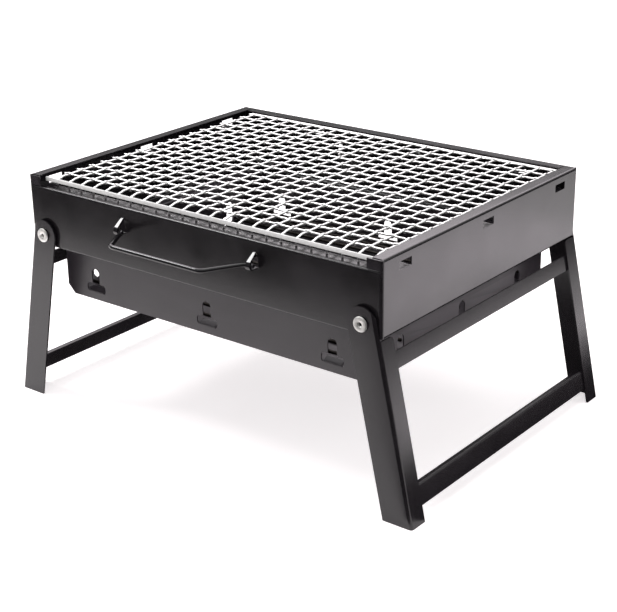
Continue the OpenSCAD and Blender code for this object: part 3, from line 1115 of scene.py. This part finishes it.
@dataclass
class CharcoalGrid:
    """Loose grid that the charcoal lies on: rods across two bearers."""

    finishes: Finishes
    rods: int = 15
    wire: float = 3.0
    bearing_x: float = 70.0

    def build(self) -> None:
        """Builds the rods and the bearers as round wires with cropped ends."""
        low, high = box_mm("charcoal_grid_rods")
        r = self.wire / 2
        rods = bmesh.new()
        step = (high.y - low.y - self.wire) / (self.rods - 1)
        for i in range(self.rods):
            y = low.y + r + i * step
            # each rod is pressed into its bearers a little, so it is not dead straight
            line = []
            for k in range(25):
                x = low.x + (high.x - low.x) * k / 24
                line.append((x, y, low.z + r + 0.12 * math.cos(x / 22 + i)))
            add_tube(rods, line, r, 12)
        obj = to_object("charcoal_rods", rods)
        dress(obj, self.finishes.grid, "charcoal_grid", ["charcoal_grid_rods"])
        low, high = box_mm("charcoal_grid_bearers")
        bars = bmesh.new()
        for s in (-1, 1):
            x = s * self.bearing_x
            line = [(x, low.y + (high.y - low.y) * k / 8, low.z + r) for k in range(9)]
            add_tube(bars, line, r, 12)
        obj = to_object("charcoal_bearers", bars)
        dress(obj, self.finishes.grid, "charcoal_grid", ["charcoal_grid_bearers"])


# ---------------------------------------------------------------- cooking grate


@dataclass
class CookingGrate:
    """Woven grate of crimped wires, with an upright strip along its front edge."""

    finishes: Finishes
    across: int = 24
    along: int = 18
    wire: float = 1.85
    crimp_mm: float = 0.85
    crimp_reach: float = 3.6
    steps: int = 14
    body: str = "cooking_grate"
    level: float = field(init=False)
    xs: list[float] = field(init=False)
    ys: list[float] = field(init=False)

    def __post_init__(self) -> None:
        """Reads the wires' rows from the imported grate."""
        low, high = box_mm("grate_cross_wires")
        first, last = low.x + 1.0, high.x - 1.0
        self.xs = [first + (last - first) * i / (self.across - 1) for i in range(self.across)]
        low, high = box_mm("grate_long_wires")
        first, last = low.y + 1.0, high.y - 1.0
        self.ys = [first + (last - first) * j / (self.along - 1) for j in range(self.along)]
        self.level = high.z - self.crimp_mm - self.wire / 2

    def build(self) -> None:
        """Builds both sets of wires, the strip and the back bar."""
        self.long_wires()
        self.cross_wires()
        self.strip()

    def crimp(self, at: float, rows: Sequence[float], phase: int) -> float:
        """Height of a wire above the grate's middle as it passes over and under others.

        Args:
            at: Place along the wire.
            rows: Places of the wires it crosses.
            phase: 0 if it passes over the first of them, otherwise 1.

        Returns:
            Height in millimetres.
        """
        pitch = (rows[-1] - rows[0]) / (len(rows) - 1)
        turn = (at - rows[0]) / pitch
        near = round(turn)
        away = abs(turn - near) * pitch / self.crimp_reach
        if away >= 1.0:
            return 0.0
        # the wire is straight between the crossings and pressed up or down only at them
        rise = self.crimp_mm * math.cos(away * math.pi / 2) ** 2
        return rise if (near + phase) % 2 == 0 else -rise

    def long_wires(self) -> None:
        """Builds the wires that run from side to side."""
        low, high = box_mm("grate_long_wires")
        bm = bmesh.new()
        count = int((high.x - low.x) / (self.xs[1] - self.xs[0]) * self.steps)
        for j, y in enumerate(self.ys):
            line = []
            for k in range(count + 1):
                x = low.x + (high.x - low.x) * k / count
                line.append((x, y, self.level + self.crimp(x, self.xs, j % 2)))
            add_tube(bm, line, self.wire / 2, 8)
        wires = to_object("woven_long_wires", bm)
        dress(wires, self.finishes.grate, self.body, ["grate_long_wires"])

    def cross_wires(self) -> None:
        """Builds the wires that run front to back, whose front ends turn down behind the strip."""
        low, high = box_mm("grate_cross_wires")
        strip = box_mm("grate_front_strip")[1]
        back = box_mm("grate_back_rod")[0].z - self.wire / 2 + 0.1
        pitch = self.ys[1] - self.ys[0]
        begin = self.ys[0] - pitch * 0.45
        start = strip.y + self.wire / 2 - 0.2
        top, bend = strip.z - self.wire / 2, 2.0
        count = int((high.y - begin) / pitch * self.steps)
        bm = bmesh.new()
        for i, x in enumerate(self.xs):
            phase = (i + 1) % 2
            line = [(x, start, low.z), (x, start, top - bend)]
            for a in (20, 45, 70, 90):
                c, s = math.cos(math.radians(a)), math.sin(math.radians(a))
                line.append((x, start + bend - bend * c, top - bend + bend * s))
            rise = self.level + self.crimp(begin, self.ys, phase) - top
            for k in range(1, 6):
                share = k / 6
                y = start + bend + (begin - start - bend) * share
                line.append((x, y, top + rise * share * share * (3 - 2 * share)))
            for k in range(count + 1):
                y = begin + (high.y - begin) * k / count
                z = self.level + self.crimp(y, self.ys, phase)
                tail = min(max((y - self.ys[-1]) / (high.y - self.ys[-1]), 0.0), 1.0)
                line.append((x, y, z + (back - z) * tail))
            add_tube(bm, line, self.wire / 2, 8)
        wires = to_object("woven_cross_wires", bm)
        dress(wires, self.finishes.grate, self.body, ["grate_cross_wires"])

    def strip(self) -> None:
        """Builds the strip along the front edge and the bar along the back ends."""
        low, high = box_mm("grate_front_strip")
        bm = bmesh.new()
        add_block(bm, tuple(low), tuple(high))
        obj = to_object("front_edge_strip", bm)
        dress(obj, self.finishes.strip, self.body, ["grate_front_strip"], 0.25)
        low, high = box_mm("grate_back_rod")
        bm = bmesh.new()
        add_block(bm, tuple(low), tuple(high))
        obj = to_object("back_edge_bar", bm)
        dress(obj, self.finishes.grate, self.body, ["grate_back_rod"], 0.35)


# ---------------------------------------------------------------- handles


@dataclass
class BailHandle:
    """Wire handle: a grip bar, two arms that spread toward the wall, and turned-out pins."""

    finishes: Finishes
    end: End
    wire: float = 3.6
    grip: float = 45.0
    arms: float = 62.0
    bend: float = 6.5

    def build(self) -> None:
        """Builds the handle as one bent wire."""
        word = self.end.name.lower()
        low, high = box_mm(f"{word}_handle")
        middle, r = (low.x + high.x) / 2, self.wire / 2
        out = self.end.value
        pin = (high.y - r) if self.end is End.FRONT else (low.y + r)
        grip = (low.y + r) if self.end is End.FRONT else (high.y - r)
        level = (low.z + high.z) / 2
        corners = [
            (low.x, pin),
            (middle - self.arms, pin),
            (middle - self.grip, grip),
            (middle + self.grip, grip),
            (middle + self.arms, pin),
            (high.x, pin),
        ]
        line = [(x, y, level) for x, y in fillet(corners, self.bend, 8)]
        bm = bmesh.new()
        add_tube(bm, line, r, 20)
        obj = to_object(f"{word}_bail", bm)
        dress(obj, self.finishes.handle, f"{word}_handle", [f"{word}_handle"])
        LOG.info("%s handle stands %.1f mm out, side %+d", word, abs(grip - pin), out)


# ---------------------------------------------------------------- studio


@dataclass
class Studio:
    """Pale floor, two bright cards, soft lights and the camera."""

    lens: float = 84.6
    azimuth: float = 38.488
    elevation: float = 21.888
    roll: float = -0.928
    eye: Point3 = (0.7021, -0.878, 0.53)
    card_level: float = 2.5
    back_level: float = 2.7
    paper_edge: float = -425.0

    def build(self) -> None:
        """Builds floor, lights, world and camera."""
        self.floor()
        self.lights()
        self.world()
        self.camera()

    def floor(self) -> None:
        """Builds the paper that the grill stands on, the paper in front of it and the two
        bright cards that the enamel mirrors."""
        paper = self.paper()
        # the paper that the enamel mirrors ends in front of the grill, so that the front wall's
        # upper part and the right front leg mirror the dark room, and it ends behind the grill
        # for the leaning legs; none lies under the grill and close to its right side, so that
        # the inner faces and the box's right panel stay dark
        left, right, far, edge = -6000, 660, 800, self.paper_edge
        hole_left, hole_right, hole_near, hole_far = -196, 330, -118, 360
        outlines = {
            "front": [
                (left, edge),
                (-40, edge),
                (190, -150),
                (right, -150),
                (right, hole_near),
                (left, hole_near),
            ],
            "left": [(left, hole_near), (hole_left, hole_near), (hole_left, hole_far), (left, hole_far)],
            "right": [(hole_right, hole_near), (right, hole_near), (right, hole_far), (hole_right, hole_far)],
            "back": [(left, hole_far), (right, hole_far), (right, far), (left, far)],
        }
        floor = [
            self.sheet(f"paper_{name}", [(x, y, 0) for x, y in line], paper)
            for name, line in outlines.items()
        ]
        wide = [(-6000, -9000, -0.6), (6000, -9000, -0.6), (6000, 9000, -0.6), (-6000, 9000, -0.6)]
        apron = self.sheet("paper_apron", wide, paper)
        apron.visible_glossy = False
        glow = self.light_card("bright_card_surface", self.card_level)
        cards = []
        corners = [(345, 80, 1), (490, 80, 1), (490, 520, 1), (345, 520, 1)]
        cards.append(self.sheet("wall_card", corners, glow))
        glow = self.light_card("back_card_surface", self.back_level)
        # its lower edge is where the front and right top flanges mirror it and the others don't
        behind = [(-1136, -12, 472), (268, 1104, 472), (268, 1104, 1200), (-1136, -12, 1200)]
        cards.append(self.sheet("back_card", behind, glow))
        for card in cards:
            card.visible_camera = False
            card.visible_shadow = False
            card.visible_diffuse = False

    def paper(self) -> bpy.types.Material:
        """Makes the matt white paper, which glows a little as paper lit from behind does."""
        paper = bpy.data.materials.new("pale_paper")
        paper.use_nodes = True
        tree = paper.node_tree
        tree.nodes.clear()
        place = add_node(tree, "ShaderNodeTexCoord").outputs["Object"]
        grain = add_node(
            tree, "ShaderNodeTexNoise", inputs={"Vector": place, "Scale": 1 / (60 * MM), "Detail": 3.0}
        )
        tone = add_node(tree, "ShaderNodeValToRGB", inputs={"Fac": grain.outputs["Fac"]})
        set_ramp(tone, [(0.3, "#f1ebec"), (0.7, "#f8f4f5")])
        flat = add_node(tree, "ShaderNodeBsdfDiffuse", inputs={"Color": tone.outputs["Color"]})
        glow = add_node(
            tree, "ShaderNodeEmission", inputs={"Color": (1.0, 0.972, 0.978, 1.0), "Strength": 0.67}
        )
        both = add_node(tree, "ShaderNodeAddShader", inputs={0: flat.outputs[0], 1: glow.outputs[0]})
        add_node(tree, "ShaderNodeOutputMaterial", inputs={"Surface": both.outputs[0]})
        return paper

    def light_card(self, name: str, level: float) -> bpy.types.Material:
        """Makes the even glow of a card lit from behind.

        Args:
            name: Name of the material.
            level: Its brightness, where white paper is 1.

        Returns:
            The material.
        """
        material = bpy.data.materials.new(name)
        material.use_nodes = True
        tree = material.node_tree
        tree.nodes.clear()
        glow = add_node(
            tree, "ShaderNodeEmission", inputs={"Color": (1.0, 0.93, 0.97, 1.0), "Strength": level}
        )
        add_node(tree, "ShaderNodeOutputMaterial", inputs={"Surface": glow.outputs[0]})
        return material

    def sheet(self, name: str, corners: Sequence[Point3], material: bpy.types.Material) -> bpy.types.Object:
        """Builds one flat sheet of the studio, with its corners in millimetres."""
        bm = bmesh.new()
        bm.faces.new([bm.verts.new(c) for c in corners])
        obj = to_object(name, bm)
        obj.data.materials.append(material)
        return obj

    def lamp(self, name: str, place: Point3, aim: Point3, size: tuple[float, float], watts: float) -> None:
        """Adds a soft rectangular lamp.

        Args:
            name: Name of the lamp.
            place: Its place, in metres.
            aim: Point that it faces.
            size: Width and height in metres.
            watts: Its power.
        """
        data = bpy.data.lights.new(name, "AREA")
        data.shape = "RECTANGLE"
        data.size, data.size_y = size
        data.energy = watts
        lamp = bpy.data.objects.new(name, data)
        lamp.location = place
        lamp.rotation_mode = "QUATERNION"
        lamp.rotation_quaternion = (Vector(aim) - Vector(place)).to_track_quat("-Z", "Y")
        bpy.context.scene.collection.objects.link(lamp)

    def lights(self) -> None:
        """Adds the overhead softbox, the small key lamp high in front and the two side lamps."""
        self.lamp("overhead_softbox", (-0.1, 0.2, 1.5), (0, 0, 0.1), (1.6, 1.4), 12)
        self.lamp("key_lamp", (-0.9, -0.38, 1.2), (-0.02, -0.15, 0.16), (0.38, 0.38), 8)
        self.lamp("right_softbox", (1.6, 0.9, 0.9), (0.1, 0.0, 0.1), (1.0, 1.0), 5)
        self.lamp("left_softbox", (-1.5, -0.3, 1.0), (0, 0, 0.1), (0.9, 0.9), 2)

    def world(self) -> None:
        """Makes the room: white to the eye, to the objects pale above the floor and dark below."""
        world = bpy.data.worlds.new("studio_room")
        world.use_nodes = True
        tree = world.node_tree
        tree.nodes.clear()
        path = add_node(tree, "ShaderNodeLightPath")
        way = add_node(tree, "ShaderNodeTexCoord").outputs["Generated"]
        height = add_node(tree, "ShaderNodeSeparateXYZ", inputs={0: way}).outputs["Z"]
        room = add_node(
            tree,
            "ShaderNodeMapRange",
            inputs={"Value": height, "From Min": 0.1, "From Max": 0.4, "To Min": 0.03, "To Max": 0.5},
        ).outputs["Result"]
        level = add_node(
            tree,
            "ShaderNodeMix",
            {"data_type": "FLOAT"},
            {0: path.outputs["Is Camera Ray"], 2: room, 3: 1.15},
        ).outputs[0]
        glow = add_node(tree, "ShaderNodeBackground", inputs={"Color": (1, 1, 1, 1), "Strength": level})
        add_node(tree, "ShaderNodeOutputWorld", inputs={"Surface": glow.outputs[0]})
        bpy.context.scene.world = world
        bpy.context.scene.view_settings.view_transform = "Standard"

    def camera(self) -> None:
        """Places the camera in front, to the right and above."""
        data = bpy.data.cameras.new("eye")
        data.lens = self.lens
        data.sensor_width = 36.0
        data.sensor_fit = "HORIZONTAL"
        data.dof.use_dof = False
        data.clip_start, data.clip_end = 0.01, 50.0
        camera = bpy.data.objects.new("eye", data)
        az, el = math.radians(self.azimuth), math.radians(self.elevation)
        back = Vector((math.sin(az) * math.cos(el), -math.cos(az) * math.cos(el), math.sin(el)))
        turn = (-back).to_track_quat("-Z", "Y").to_matrix().to_4x4()
        spin = Matrix.Rotation(math.radians(self.roll), 4, "Z")
        camera.matrix_world = Matrix.Translation(Vector(self.eye)) @ turn @ spin
        bpy.context.scene.collection.objects.link(camera)
        bpy.context.scene.camera = camera


def main() -> None:
    """Builds and dresses the grill, then the studio round it."""
    logging.basicConfig(level=logging.INFO, format="%(name)s %(message)s")
    finishes = Finishes()
    FrameShell(finishes).build()
    for side in Side:
        LegPair(finishes, side).build()
    CharcoalBox(finishes).build()
    CharcoalGrid(finishes).build()
    CookingGrate(finishes).build()
    for end in End:
        BailHandle(finishes, end).build()
    Studio().build()


if __name__ == "__main__":
    main()
